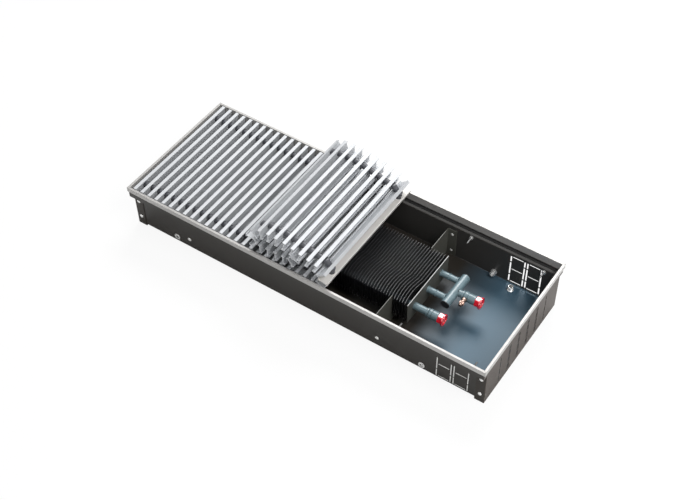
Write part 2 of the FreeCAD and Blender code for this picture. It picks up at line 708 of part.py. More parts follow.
def plugs():
    """A disc with a raised lip that closes each end of the headers."""
    source = cut("plug", join("plug_solid", [
        rod("plug_rim_disc", "header_width", "plug_rim", "Y", 0, 0, 0),
        rod("plug_spigot", "header_width - 2 * header_wall - 2 * hole_clearance", "plug_depth",
            "-Y", 0, 0, 0)]),
        [rod("plug_hollow", "header_width - 2 * header_wall", "plug_lip", "Y", 0,
             "plug_rim - plug_lip", 0)])
    z = mm("tray_height") - mm("tube_drop")
    places = []
    for place, first, last in (("supply_header_place", 0, 1), ("return_header_place", -1, 1)):
        x = mm(place) - mm("tray_length") / 2
        places.append(spot(x, first * mm("tube_pitch") - mm("header_overhang"), z, True))
        places.append(spot(x, last * mm("tube_pitch") + mm("header_overhang"), z))
    copies("header_plugs", source, places)


# Pipe connections
def fitting(label, y, start, cap_place, body_length, extra_holes):
    """A stepped union: neck, collar, body and the thread that its cap covers."""
    body_end = "(%s - cap_length / 2 - cap_seat_gap)" % cap_place
    body_start = "(%s - %s)" % (body_end, body_length)
    pieces = [
        rod(label + "_neck", "fitting_neck_width", "%s - %s" % (body_start, start), "X",
            along("(%s)" % start), y, TUBE_HEIGHT),
        rod(label + "_collar", "fitting_collar_width", "fitting_collar_length", "X",
            along("(%s - fitting_collar_length)" % body_start), y, TUBE_HEIGHT),
        rod(label + "_body", "fitting_body_width", body_length, "X", along(body_start), y,
            TUBE_HEIGHT),
        rod(label + "_thread", "fitting_thread_width", "fitting_thread_length", "X",
            along(body_end), y, TUBE_HEIGHT),
    ]
    tools = [rod(label + "_bore", "fitting_bore", "tray_length", "X",
                 along("(%s - overrun)" % start), y, TUBE_HEIGHT)] + extra_holes
    return node(cut(label, join(label + "_solid", pieces), tools), label)


def screw_cap(label, y, cap_place):
    """A protective cap with a hollow for the thread and a round recess in its face."""
    start = "(%s - cap_length / 2)" % cap_place
    solid = rod(label + "_solid", "cap_width", "cap_length", "X", along(start), y, TUBE_HEIGHT)
    hollow = rod(label + "_hollow", "fitting_thread_width + 2 * cap_clearance",
                 "cap_length - cap_face", "X", along(start), y, TUBE_HEIGHT)
    recess = rod(label + "_recess", "cap_recess_width", "cap_recess_depth", "X",
                 along("(%s + cap_length - cap_recess_depth)" % start), y, TUBE_HEIGHT)
    node(cut(label, solid, [hollow, recess]), label)


def connections():
    """The inlet on the front tube and the outlet on the header, both capped."""
    outlet_y = "tube_pitch / 2"
    inlet_start = "inlet_cap_place - cap_length / 2 - inlet_body_length"
    fitting("inlet_fitting", "-tube_pitch", "exchanger_right", "inlet_cap_place",
            "inlet_body_length", [rod("inlet_socket", "tube_width + 2 * hole_clearance",
                                      "%s - exchanger_right" % inlet_start, "X",
                                      along("exchanger_right"), "-tube_pitch", TUBE_HEIGHT)])
    vent_hole = rod("vent_stem_hole", "vent_body_width + 2 * hole_clearance",
                    "fitting_body_width", "-Y", along("vent_place"), outlet_y, TUBE_HEIGHT)
    fitting("outlet_fitting", outlet_y, "supply_header_place + header_width / 2 - header_wall",
            "outlet_cap_place", "outlet_body_length", [vent_hole])
    screw_cap("inlet_cap", "-tube_pitch", "inlet_cap_place")
    screw_cap("outlet_cap", outlet_y, "outlet_cap_place")


def air_vent():
    """A small vent that points to the front, with the screw that opens it."""
    stem_start = "(tube_pitch / 2 - fitting_bore / 2)"
    face = "(tube_pitch / 2 - fitting_body_width / 2 - vent_reach + vent_screw_head)"
    body = rod("vent_solid", "vent_body_width", "%s - %s" % (stem_start, face), "-Y",
               along("vent_place"), stem_start, TUBE_HEIGHT)
    bore = rod("vent_bore", "vent_pin_width + 2 * vent_clearance", "tray_width", "-Y",
               along("vent_place"), "tube_pitch / 2", TUBE_HEIGHT)
    node(cut("air_vent_body", body, [bore]), "air_vent_body")
    head_start = "(%s - vent_seat_gap)" % face
    screw = join("vent_screw_solid", [
        rod("vent_screw_head_disc", "vent_screw_width", "vent_screw_head", "-Y",
            along("vent_place"), head_start, TUBE_HEIGHT),
        rod("vent_screw_pin", "vent_pin_width", "vent_pin_length", "Y", along("vent_place"),
            head_start, TUBE_HEIGHT)])
    slot = block("vent_slot", "vent_slot_width", "2 * vent_slot_depth", "vent_body_width",
                 along("vent_place"), "(%s - vent_screw_head)" % head_start,
                 "%s - vent_body_width / 2" % TUBE_HEIGHT)
    node(cut("air_vent_screw", screw, [slot]), "air_vent_screw")


# Grille
def slat():
    """One slat about its own middle: an I section along Y with a hole for each core."""
    half = [("slat_width / 2", "-slat_height / 2"),
            ("slat_width / 2", "-slat_height / 2 + slat_flange"),
            ("slat_web / 2", "-slat_height / 2 + slat_flange"),
            ("slat_web / 2", "slat_height / 2 - slat_flange"),
            ("slat_width / 2", "slat_height / 2 - slat_flange"),
            ("slat_width / 2", "slat_height / 2")]
    profile = extrusion("slat_profile", "XZ_Plane", mirrored(half), "slat_length")
    holes = [rod("slat_hole_%d" % number, "spacer_bore", "slat_width + 2 * overrun", "X",
                 "-slat_width / 2 - overrun", signed(hand, "spacer_row"), 0)
             for number, hand in enumerate((-1, 1))]
    return cut("slat", profile, holes)


def spacers():
    """The two spacers on a slat's right side. Each ends in a nose that is round about the
    hinge axis half way to the next slat, so the next slat's web stays at it as it turns."""
    made = []
    reach = "(slat_pitch / 2 - slat_web / 2)"
    for number, hand in enumerate((-1, 1)):
        y = signed(hand, "spacer_row")
        root = rod("spacer_root_%d" % number, "spacer_width", reach, "X", "slat_web / 2", y, 0)
        front = rod("spacer_front_%d" % number, "spacer_width", reach, "X", "slat_pitch / 2", y, 0)
        drum = rod("spacer_drum_%d" % number, "2 * (%s - spacer_nose_gap)" % reach,
                   "spacer_width", "Y", "slat_pitch / 2", "%s - spacer_width / 2" % y, 0)
        nose = document.addObject("Part::Common", "spacer_nose_%d" % number)
        nose.Base = front
        nose.Tool = drum
        solid = join("spacer_solid_%d" % number, [root, nose])
        hole = rod("spacer_hole_%d" % number, "spacer_bore", "slat_pitch", "X", 0, y, 0)
        made.append(cut("spacer_%d" % number, solid, [hole]))
    return group("spacer_pair", made)


def flat_places():
    """The middles of the slats that lie flat in the tray."""
    first = -(mm("slat_count") - 1) * mm("slat_pitch") / 2
    z = mm("tray_height") - mm("slat_height") / 2
    return [Placement(Vector(first + number * mm("slat_pitch"), 0, z), Rotation())
            for number in range(int(mm("flat_slat_count")))]


def roll_places():
    """The middles of the rolled slats, stretch by stretch, and the pivot before each."""
    half = mm("slat_pitch") / 2
    middle = flat_places()[-1].Base
    direction = Vector(1, 0, 0)
    stretches = []
    for degrees, count in zip(ROLL_DEGREES, ROLL_COUNTS):
        angle = math.radians(degrees)
        pivot = middle + direction * half
        direction = Vector(math.cos(angle), 0, math.sin(angle))
        turn = Rotation(Vector(0, -1, 0), degrees)
        places = []
        for number in range(count):
            middle = pivot + direction * half * (2 * number + 1)
            places.append(Placement(middle, turn))
        stretches.append((pivot, places))
    return stretches


def grille():
    """The flat part with its cores, and the rolled part as one stretch after another."""
    one_slat = slat()
    pair = spacers()
    flat = flat_places()
    copies("flat_slats", one_slat, flat)
    copies("flat_spacers", pair, flat)
    start = "-(slat_count - 1) * slat_pitch / 2 - slat_web / 2"
    cores = [rod("core_%d" % number, "core_width", "flat_slat_count * slat_pitch", "X", start,
                 signed(hand, "spacer_row"), "tray_height - slat_height / 2")
             for number, hand in enumerate((-1, 1))]
    node(group("grille_cores", cores), "grille_cores")
    stops = group("end_stop_pair", [
        rod("end_stop_%d" % number, "core_end_width", "core_end_height", "X",
            "-core_end_height - slat_web / 2", signed(hand, "spacer_row"), 0)
        for number, hand in enumerate((-1, 1))])
    copies("core_end_stops", stops, flat[:1])
    stretches = roll_places()
    for number, (pivot, places) in enumerate(stretches, 1):
        copies("roll_slats_%02d" % number, one_slat, places)
        if number < len(stretches):
            copies("roll_spacers_%02d" % number, pair, places)
        print("pivot %02d: x %.4f z %.4f" % (number, pivot.x, pivot.z))
    last = stretches[-1][1][-1]
    flipped = Placement(last.Base, last.Rotation.multiply(Rotation(Vector(0, 0, 1), 180)))
    copies("roll_end_stops", stops, [flipped])


tray()
end_cap(-1, "end_cap_left")
end_cap(1, "end_cap_right")
frame()
cushions()
rivets()
nuts()
side_screws()
bracket(-1, "support_bracket_left")
bracket(1, "support_bracket_right")
fins()
end_plates()
tubes()
headers()
plugs()
connections()
air_vent()
grille()
document.recompute()

for thing in document.Objects:
    if "Invalid" in thing.State or "Error" in thing.State:
        raise RuntimeError("%s did not compute: %s" % (thing.Name, thing.State))
for thing in nodes:
    if thing.Shape.isNull() or not thing.Shape.isValid():
        raise RuntimeError("%s has no valid shape" % thing.Label)

os.makedirs("parts", exist_ok=True)
for thing in nodes:
    thing.Shape.exportStep("parts/%s.step" % thing.Label)
print("%d nodes, %d solids" % (len(nodes), sum(len(n.Shape.Solids) for n in nodes)))
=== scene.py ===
import json
from functools import wraps
from math import cos, pi, radians, sin

import bmesh
import bpy
from bpy.props import FloatProperty, FloatVectorProperty, PointerProperty
from bpy.types import Operator, Panel, PropertyGroup
from mathutils import Matrix, Vector

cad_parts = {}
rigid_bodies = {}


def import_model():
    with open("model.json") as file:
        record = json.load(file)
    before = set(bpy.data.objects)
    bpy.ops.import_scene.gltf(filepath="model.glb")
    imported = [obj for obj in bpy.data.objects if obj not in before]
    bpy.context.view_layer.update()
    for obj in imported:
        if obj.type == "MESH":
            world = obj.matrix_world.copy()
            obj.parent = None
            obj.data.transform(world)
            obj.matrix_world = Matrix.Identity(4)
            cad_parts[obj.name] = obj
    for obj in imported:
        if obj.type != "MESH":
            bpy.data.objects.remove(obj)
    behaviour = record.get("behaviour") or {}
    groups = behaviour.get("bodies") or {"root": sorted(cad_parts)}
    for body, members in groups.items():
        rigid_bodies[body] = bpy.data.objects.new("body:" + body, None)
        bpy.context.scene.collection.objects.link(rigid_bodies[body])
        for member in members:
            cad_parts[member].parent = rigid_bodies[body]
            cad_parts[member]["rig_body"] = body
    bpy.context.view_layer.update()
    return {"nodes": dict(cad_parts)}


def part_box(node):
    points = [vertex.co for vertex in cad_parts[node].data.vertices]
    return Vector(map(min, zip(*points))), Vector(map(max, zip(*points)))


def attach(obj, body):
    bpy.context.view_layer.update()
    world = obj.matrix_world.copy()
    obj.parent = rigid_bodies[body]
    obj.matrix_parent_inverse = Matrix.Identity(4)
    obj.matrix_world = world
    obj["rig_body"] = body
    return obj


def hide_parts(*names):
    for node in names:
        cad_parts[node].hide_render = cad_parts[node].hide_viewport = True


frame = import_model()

bl_info = {
    "name": "Trench convector heater",
    "version": (1, 0, 0),
    "blender": (4, 5, 0),
    "location": "View3D > Sidebar > Heater",
    "description": "Finishes a trench convector heater around its packed frame",
    "category": "Object",
}

MM = 0.001
NEAR = 0.05 * MM  # places closer than this count as the same
DOUBLE = 0.002 * MM  # vertices closer than this are merged
SHARP = radians(25)  # edges that fold by more than this are rounded
SMOOTH = radians(28)  # edges that fold by less than this are shaded smooth
FLAT = radians(0.5)  # faces that lean by less than this are one
BUMP_DEPTH = 0.05 * MM
AXES = {"X": Matrix.Rotation(pi / 2, 3, "Y"), "Y": Matrix.Rotation(-pi / 2, 3, "X"),
        "-Y": Matrix.Rotation(pi / 2, 3, "X"), "Z": Matrix.Identity(3)}

# Sizes of the solids that the scene follows
TUBE_RADIUS = 6.0 * MM
SHEET = 1.0 * MM
SLOT = 2.0 * MM  # width of the slots punched in the sheets
WINDOW_INSET = 38.0 * MM  # from the frame's right end to the last upright slot
WINDOW_DROP = 28.5 * MM  # from the frame's top to the windows' top
WINDOW_STEP = 35.0 * MM
WINDOW_WIDTH = 29.0 * MM  # between a window's upright slots
BAR_DROPS = (0.0, 33.5 * MM, 67.5 * MM)  # from the windows' top to their cross slots
COLUMN_COUNT = 6
COLUMN_STEP = 33.7 * MM  # between the end plate's columns of slots

# How deep the metal in the front windows' slots lies under the wall's face
UPRIGHT_METAL = (0.1 * MM, 0.7 * MM)
BAR_METAL = (0.12 * MM, 0.65 * MM)

# How much the slots are opened, as shares of half their width
UPRIGHTS_OPENED = 0.5
BARS_OPENED = (0.45, 0.2, 0.45)
COLUMNS_OPENED = 0.35

# Scales of the grain in each finish, across X, Y and Z
PLATED = (1800, 1800, 1800)
FINE = (1500, 1500, 1500)
MOULDED = (1200, 1200, 1200)
LACQUERED = (900, 900, 900)
PAINTED = (700, 700, 700)
GLOSSY = (600, 600, 600)
BRUSHED = (2600, 60, 2600)
DRAWN = (60, 60, 2400)

# Each lamp's name, place, size and power in watts
LAMPS = (("key_softbox", (-0.45, 1.65, 2.05), (1.5, 1.1), 58.0),
         ("upper_right_softbox", (1.5, -0.2, 2.3), (1.3, 1.1), 40.0),
         ("right_softbox", (2.6, -0.3, 0.9), (1.2, 1.0), 7.0),
         ("front_softbox", (0.5, -2.2, 1.6), (1.2, 1.0), 9.0))
LAMP_AIM = (0.0, 0.0, 0.05)
SKY_LIGHT = 0.17
GROUND_SIZE = 12.0
GROUND_GLOW = 0.9  # how much of the ground's white the camera sees without its shading

# The camera's place, the directions to its right and behind it, and its lens in millimetres
CAMERA_PLACE = (0.9028, -1.2915, 1.8189)
CAMERA_RIGHT = (0.83026, 0.55734, -0.00623)
CAMERA_BACK = (0.37282, -0.54701, 0.74952)
CAMERA_LENS = 63.42
CAMERA_SENSOR = 36.0


def length_prop(name, description, default):
    """A size in metres that a user may change."""
    return FloatProperty(name=name, description=description, default=default, unit="LENGTH",
                         min=0.0, precision=5)


def color_prop(name, description, default):
    """A base colour that a user may change."""
    return FloatVectorProperty(name=name, description=description, default=default,
                               subtype="COLOR", size=3, min=0.0, max=1.0)


class HeaterSizes(PropertyGroup):
    """Roundings and small forms that the scene adds to the solids"""
    edge_round: length_prop("Sheet edge", "Rounding of the cut edges of sheet steel", 0.22 * MM)
    rail_round: length_prop("Rail edge", "Rounding of the frame rails' edges", 0.45 * MM)
    slat_round: length_prop("Slat edge", "Rounding of the slats' lips", 0.5 * MM)
    spacer_round: length_prop("Spacer edge", "Rounding of spacers and end stops", 0.7 * MM)
    pipe_round: length_prop("Pipe edge", "Rounding of the tubes', headers' and plugs' ends", 0.3 * MM)
    nut_round: length_prop("Nut edge", "Rounding of the side nuts and the vent's screw", 0.35 * MM)
    bend_outside: length_prop("Bend", "Outer radius of the tray's lower bends", 3.0 * MM)
    bend_inside: length_prop("Inner bend", "Inner radius of the tray's lower bends", 2.0 * MM)
    fold_round: length_prop("Fold", "Outer radius of the end caps' folds", 1.5 * MM)
    bead: length_prop("Solder bead", "Thickness of the solder beads on the pipes", 0.9 * MM)
    cap_flat: length_prop("Cap flats", "From a cap's axis to a flat of its hexagon", 9.7 * MM)
    cap_rim: length_prop("Cap rim", "Thickness of the caps' outer rim", 3.2 * MM)
    fin_bow: length_prop("Fin bow", "How far the fins bend out of their plane", 4.0 * MM)


class HeaterColors(PropertyGroup):
    """Base colours of the finishes"""
    wall_paint: color_prop("Wall paint", "Powder coat of the tray", (0.034, 0.029, 0.024))
    # Painted light: a lighter copy of the wall paint that stands in for fill light on the back wall's
    # inner face
    inner_paint: color_prop("Inner wall", "Powder coat on the back wall's inner face",
                            (0.054, 0.052, 0.049))
    # Painted light: a lighter copy of the wall paint for the lit top of the back ledge
    ledge_paint: color_prop("Ledge", "Powder coat of the back ledge", (0.115, 0.112, 0.109))
    floor_paint: color_prop("Floor paint", "Satin paint on the tray's floor", (0.056, 0.106, 0.148))
    # Painted light: a lighter colour for the right end cap's outer face, standing in for light from
    # the right; the rest of the caps takes the wall paint
    end_paint_painted_light: color_prop("End paint", "Powder coat of the end caps", (0.066, 0.054, 0.046))
    bracket: color_prop("Brackets", "Powder coat of the brackets", (0.10, 0.10, 0.086))
    aluminium: color_prop("Aluminium", "Anodised flat slats", (0.58, 0.595, 0.615))
    # Painted shade: a darker copy of the flat slats' aluminium for the rolled slats
    roll: color_prop("Rolled slats", "Anodised slats of the roll", (0.56, 0.575, 0.595))
    # Painted light: the strip is the slats' aluminium, painted warmer and lighter where it faces up
    # to the light
    strip: color_prop("Strip", "Slat that lies on its side before the roll", (0.69, 0.67, 0.64))
    rail: color_prop("Rails", "Anodised frame rails", (0.46, 0.45, 0.437))
    zinc: color_prop("Zinc", "Plated fasteners", (0.82, 0.82, 0.81))
    screw: color_prop("Screws", "Steel of the side screws", (0.36, 0.36, 0.36))
    steel: color_prop("Bare steel", "Cut seams and bracket rivets", (0.85, 0.85, 0.83))
    fin: color_prop("Fins", "Black lacquer of the fins", (0.012, 0.012, 0.013))
    fin_edge: color_prop("Fin edges", "Cut edges of the fins", (0.13, 0.13, 0.135))
    plate: color_prop("End plates", "Lacquer of the end plates", (0.10, 0.10, 0.088))
    plate_edge: color_prop("Plate edges", "Cut edges of the end plates", (0.42, 0.42, 0.42))
    pipe: color_prop("Pipes", "Paint of the pipes and headers", (0.155, 0.232, 0.262))
    plug: color_prop("Plugs", "Paint of the headers' plugs", (0.018, 0.022, 0.025))
    red: color_prop("Caps", "Plastic of the caps", (0.95, 0.010, 0.035))
    brass: color_prop("Vent", "Plated brass of the air vent", (0.42, 0.29, 0.24))
    spacer: color_prop("Spacers", "Plastic of the spacers", (0.085, 0.088, 0.10))
    rubber: color_prop("Strips", "Rubber of the strips on the ledges", (0.014, 0.014, 0.014))
    background: color_prop("Background", "Floor and backdrop", (1.0, 1.0, 1.0))


def sizes():
    """The sizes that a user may change."""
    return bpy.context.scene.heater_sizes


def colors():
    """The colours that a user may change."""
    return bpy.context.scene.heater_colors


# Materials

def new_group(name, inputs, outputs):
    """A shader node group with named sockets, and its input and output nodes."""
    group = bpy.data.node_groups.new(name, "ShaderNodeTree")
    for label, kind, value in inputs:
        socket = group.interface.new_socket(name=label, in_out="INPUT", socket_type=kind)
        socket.default_value = value
    for label, kind in outputs:
        group.interface.new_socket(name=label, in_out="OUTPUT", socket_type=kind)
    return group, group.nodes.new("NodeGroupInput"), group.nodes.new("NodeGroupOutput")


def node(tree, kind, **values):
    """A node with its properties set, and its inputs by name where a key starts with in_."""
    made = tree.nodes.new(kind)
    for key, value in values.items():
        if key.startswith("in_"):
            made.inputs[key[3:].replace("_", " ")].default_value = value
        else:
            setattr(made, key, value)
    return made


def grain_group():
    """Fine lines or speckle: stretched noise as a height and as a mask."""
    name = "Grain"
    if name in bpy.data.node_groups:
        return bpy.data.node_groups[name]
    group, into, out = new_group(name, [("Scale", "NodeSocketVector", (800.0, 800.0, 800.0)),
                                        ("Detail", "NodeSocketFloat", 3.0)],
                                 [("Height", "NodeSocketFloat"), ("Mask", "NodeSocketFloat")])
    place = group.nodes.new("ShaderNodeTexCoord")
    scale = node(group, "ShaderNodeVectorMath", operation="MULTIPLY")
    noise = node(group, "ShaderNodeTexNoise", in_Scale=1.0, in_Roughness=0.6)
    ramp = node(group, "ShaderNodeMapRange", in_From_Min=0.35, in_From_Max=0.65)
    link = group.links.new
    link(place.outputs["Object"], scale.inputs[0])
    link(into.outputs["Scale"], scale.inputs[1])
    link(scale.outputs[0], noise.inputs["Vector"])
    link(into.outputs["Detail"], noise.inputs["Detail"])
    link(noise.outputs["Fac"], out.inputs["Height"])
    link(noise.outputs["Fac"], ramp.inputs["Value"])
    link(ramp.outputs["Result"], out.inputs["Mask"])
    return group


def cloud_group():
    """Large soft variation, for smudges, dust and uneven paint."""
    name = "Clouds"
    if name in bpy.data.node_groups:
        return bpy.data.node_groups[name]
    group, into, out = new_group(name, [("Scale", "NodeSocketFloat", 12.0),
                                        ("Low", "NodeSocketFloat", 0.3),
                                        ("High", "NodeSocketFloat", 0.7)],
                                 [("Mask", "NodeSocketFloat")])
    place = group.nodes.new("ShaderNodeTexCoord")
    noise = node(group, "ShaderNodeTexNoise", in_Detail=5.0, in_Roughness=0.55)
    ramp = group.nodes.new("ShaderNodeMapRange")
    link = group.links.new
    link(place.outputs["Object"], noise.inputs["Vector"])
    link(into.outputs["Scale"], noise.inputs["Scale"])
    link(noise.outputs["Fac"], ramp.inputs["Value"])
    link(into.outputs["Low"], ramp.inputs["From Min"])
    link(into.outputs["High"], ramp.inputs["From Max"])
    link(ramp.outputs["Result"], out.inputs["Mask"])
    return group


def finish_material(name, color, dark, rough, grain, bump, cloud=14.0, **shader):
    """A surface whose colour and roughness vary softly, with a fine grain in its bump."""
    material = bpy.data.materials.new(name)
    material.use_nodes = True
    tree = material.node_tree
    body = tree.nodes["Principled BSDF"]
    for key, value in shader.items():
        body.inputs[key.replace("_", " ")].default_value = value
    fine = node(tree, "ShaderNodeGroup", node_tree=grain_group(), in_Scale=grain)
    soft = node(tree, "ShaderNodeGroup", node_tree=cloud_group(), in_Scale=cloud)
    tint = node(tree, "ShaderNodeMix", data_type="RGBA")
    tint.inputs["A"].default_value = tuple(dark * c for c in color) + (1.0,)
    tint.inputs["B"].default_value = tuple(color) + (1.0,)
    gloss = node(tree, "ShaderNodeMapRange", in_To_Min=rough[0], in_To_Max=rough[1])
    relief = node(tree, "ShaderNodeBump", in_Strength=bump, in_Distance=BUMP_DEPTH)
    link = tree.links.new
    link(soft.outputs["Mask"], tint.inputs["Factor"])
    link(tint.outputs["Result"], body.inputs["Base Color"])
    link(fine.outputs["Mask"], gloss.inputs["Value"])
    link(gloss.outputs["Result"], body.inputs["Roughness"])
    link(fine.outputs["Height"], relief.inputs["Height"])
    link(relief.outputs["Normal"], body.inputs["Normal"])
    return material


def add_mask(material, second, axis, low, high):
    """Changes a finish to another colour along one axis, between two places."""
    tree = material.node_tree
    body = tree.nodes["Principled BSDF"]
    base = body.inputs["Base Color"].links[0].from_socket
    place = tree.nodes.new("ShaderNodeTexCoord")
    split = tree.nodes.new("ShaderNodeSeparateXYZ")
    ramp = node(tree, "ShaderNodeMapRange", in_From_Min=low, in_From_Max=high)
    mix = node(tree, "ShaderNodeMix", data_type="RGBA")
    mix.inputs["B"].default_value = tuple(second) + (1.0,)
    link = tree.links.new
    link(place.outputs["Object"], split.inputs["Vector"])
    link(split.outputs[axis], ramp.inputs["Value"])
    link(ramp.outputs["Result"], mix.inputs["Factor"])
    link(base, mix.inputs["A"])
    link(mix.outputs["Result"], body.inputs["Base Color"])
    return material


def once(make):
    """Lets a material function build the material of its name once, and find it afterwards."""
    @wraps(make)
    def found():
        return bpy.data.materials.get(make.__name__) or make(make.__name__)
    return found


@once
def tray_paint(name):
    """Powder coat on the walls, smoother and bluer on the floor beside the pipes. It also holds
    painted shade and painted light: the floor under the exchanger and grille keeps the dark wall
    colour as painted shade, and the back wall's inner face and the ledge are lighter as painted
    light.
    """
    wall = colors().wall_paint
    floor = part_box("tray_trough")[0].z + SHEET
    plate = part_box("exchanger_end_plates")[1].x
    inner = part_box("support_bracket_right")[1].y
    material = finish_material(name, wall, dark=0.85, rough=(0.32, 0.40), grain=FINE, bump=0.12,
                               Specular_IOR_Level=0.24, Specular_Tint=(0.82, 0.92, 1.0, 1.0))
    # Each colour with its axis, where it begins and where it is full
    for color, axis, low, high in (
            # Painted shade: left of the right end plate the floor keeps the dark wall colour, and it
            # fades to the blue floor paint beside the pipes
            (colors().floor_paint, "X", plate + 5 * MM, plate + 105 * MM),
            (wall, "Z", floor + 0.3 * MM, floor + 1.6 * MM),
            # Painted light: the back wall's inner face is lighter than the rest of the wall
            (colors().inner_paint, "Y", inner - 0.5 * MM, inner - 0.4 * MM),
            (wall, "Y", inner + 0.4 * MM, inner + 0.5 * MM),
            # Painted light: the back ledge is lighter than the wall
            (colors().ledge_paint, "Y", inner + 1.3 * MM, inner + 1.4 * MM)):
        add_mask(material, color, axis, low, high)
    return material


@once
def end_paint_painted_light(name):
    """Powder coat of the end caps, with painted light: the outer face of the right one is lighter."""
    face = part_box("end_cap_right")[1].x - SHEET
    return add_mask(finish_material(name, colors().wall_paint, dark=0.88, rough=(0.42, 0.52),
                                    grain=FINE, bump=0.12, Specular_IOR_Level=0.2),
                    colors().end_paint_painted_light, "X", face - 0.3 * MM, face)


@once
def bracket_paint(name):
    """Powder coat of the brackets."""
    return finish_material(name, colors().bracket, dark=0.85, rough=(0.34, 0.44), grain=FINE,
                           bump=0.12)


@once
def slat_metal(name):
    """Brushed aluminium of the flat slats."""
    return finish_material(name, colors().aluminium, dark=0.93, rough=(0.45, 0.58), grain=BRUSHED,
                           bump=0.14, cloud=9.0, Metallic=0.15, Specular_IOR_Level=0.35)


@once
def roll_metal(name):
    """The slats of the roll, a darker copy of the slat aluminium as painted shade, so that the gaps
    between them show.
    """
    return finish_material(name, colors().roll, dark=0.93, rough=(0.45, 0.58), grain=BRUSHED,
                           bump=0.14, cloud=9.0, Metallic=0.15, Specular_IOR_Level=0.3)


@once
def strip_metal(name):
    """The slat that lies on its side where the roll begins, painted warmer and lighter than the
    others as painted light.
    """
    return finish_material(name, colors().strip, dark=0.95, rough=(0.45, 0.58), grain=BRUSHED,
                           bump=0.14, cloud=9.0, Metallic=0.1, Specular_IOR_Level=0.35)


@once
def rail_metal(name):
    """Drawn aluminium of the frame rails."""
    return finish_material(name, colors().rail, dark=0.92, rough=(0.30, 0.42), grain=DRAWN,
                           bump=0.08, cloud=9.0, Metallic=0.15, Specular_IOR_Level=0.35)


@once
def zinc_plate(name):
    """Bright plating of rivets, nuts and cores."""
    return finish_material(name, colors().zinc, dark=0.85, rough=(0.20, 0.34), grain=PLATED,
                           bump=0.06, cloud=90.0, Metallic=0.7)


@once
def screw_steel(name):
    """Duller steel of the side screws."""
    return finish_material(name, colors().screw, dark=0.85, rough=(0.35, 0.5), grain=PLATED,
                           bump=0.06, cloud=90.0, Metallic=0.5)


@once
def bare_steel(name):
    """Bright steel in the front wall's slots and on the bracket rivets."""
    return finish_material(name, colors().steel, dark=0.9, rough=(0.45, 0.6), grain=FINE,
                           bump=0.1, cloud=60.0, Metallic=0.3)


@once
def fin_lacquer(name):
    """Black lacquer that is thin on the cut upper edges."""
    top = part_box("exchanger_fins")[1].z
    return add_mask(finish_material(name, colors().fin, dark=0.7, rough=(0.32, 0.48),
                                    grain=LACQUERED, bump=0.1),
                    colors().fin_edge, "Z", top - 0.4 * MM, top - 0.1 * MM)


@once
def plate_paint(name):
    """The end plates: dark lacquer with bare cut edges on top."""
    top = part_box("exchanger_end_plates")[1].z
    return add_mask(finish_material(name, colors().plate, dark=0.85, rough=(0.32, 0.44),
                                    grain=FINE, bump=0.12),
                    colors().plate_edge, "Z", top - 0.35 * MM, top - 0.2 * MM)


@once
def pipe_paint(name):
    """Blue-green paint of tubes, headers, unions and solder beads."""
    return finish_material(name, colors().pipe, dark=0.8, rough=(0.30, 0.40), grain=PAINTED,
                           bump=0.12, cloud=60.0, Coat_Weight=0.4, Coat_Roughness=0.3)


@once
def plug_paint(name):
    """Dark paint of the headers' plugs."""
    return finish_material(name, colors().plug, dark=0.8, rough=(0.35, 0.5), grain=LACQUERED,
                           bump=0.1, cloud=60.0)


@once
def cap_red(name):
    """Glossy plastic of the caps."""
    return finish_material(name, colors().red, dark=0.9, rough=(0.22, 0.30), grain=GLOSSY,
                           bump=0.05, cloud=60.0, Coat_Weight=1.0, Coat_Roughness=0.12,
                           Coat_IOR=2.0)


@once
def vent_brass(name):
    """Plated brass of the air vent and its screw."""
    return finish_material(name, colors().brass, dark=0.85, rough=(0.30, 0.42), grain=FINE,
                           bump=0.06, cloud=120.0, Metallic=0.9)


@once
def spacer_black(name):
    """Moulded plastic of the spacers."""
    return finish_material(name, colors().spacer, dark=0.88, rough=(0.30, 0.40), grain=MOULDED,
                           bump=0.08, cloud=60.0)


@once
def strip_rubber(name):
    """Matt rubber of the strips on the ledges."""
    return finish_material(name, colors().rubber, dark=0.7, rough=(0.55, 0.75), grain=FINE,
                           bump=0.25)


# Shapes

def merged(name):
    """A bmesh of a CAD node with its loose triangles joined."""
    mesh = bmesh.new()
    mesh.from_mesh(frame["nodes"][name].data)
    bmesh.ops.remove_doubles(mesh, verts=mesh.verts, dist=DOUBLE)
    return mesh


def lies(edge, axis, reach):
    """Whether an edge lies in a plane at a distance from the middle, on one side of it."""
    one, two = (vert.co[axis] for vert in edge.verts)
    return abs(abs(one) - reach) < NEAR and abs(one - two) < NEAR


def bevel(mesh, edges, width, segments):
    """Rounds edges evenly."""
    bmesh.ops.bevel(mesh, geom=edges, offset=width, offset_type="OFFSET", segments=segments,
                    profile=0.5, affect="EDGES", material=-1, clamp_overlap=True)


def finish_piece(name, mesh, body, material, replaced=()):
    """Makes a bmesh an object that rides on a body and may stand for CAD nodes."""
    bmesh.ops.triangulate(mesh, faces=[f for f in mesh.faces if len(f.verts) > 4],
                          ngon_method="EAR_CLIP")
    data = bpy.data.meshes.new(name)
    mesh.to_mesh(data)
    mesh.free()
    data.materials.append(material)
    data.polygons.foreach_set("use_smooth", [True] * len(data.polygons))
    data.set_sharp_from_angle(angle=SMOOTH)
    piece = bpy.data.objects.new(name, data)
    bpy.context.scene.collection.objects.link(piece)
    even = piece.modifiers.new("even", "WEIGHTED_NORMAL")
    even.keep_sharp = True
    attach(piece, body)
    if replaced:
        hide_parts(*replaced)


def body_of(name):
    """The body that a CAD node rides on."""
    return frame["nodes"][name]["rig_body"]


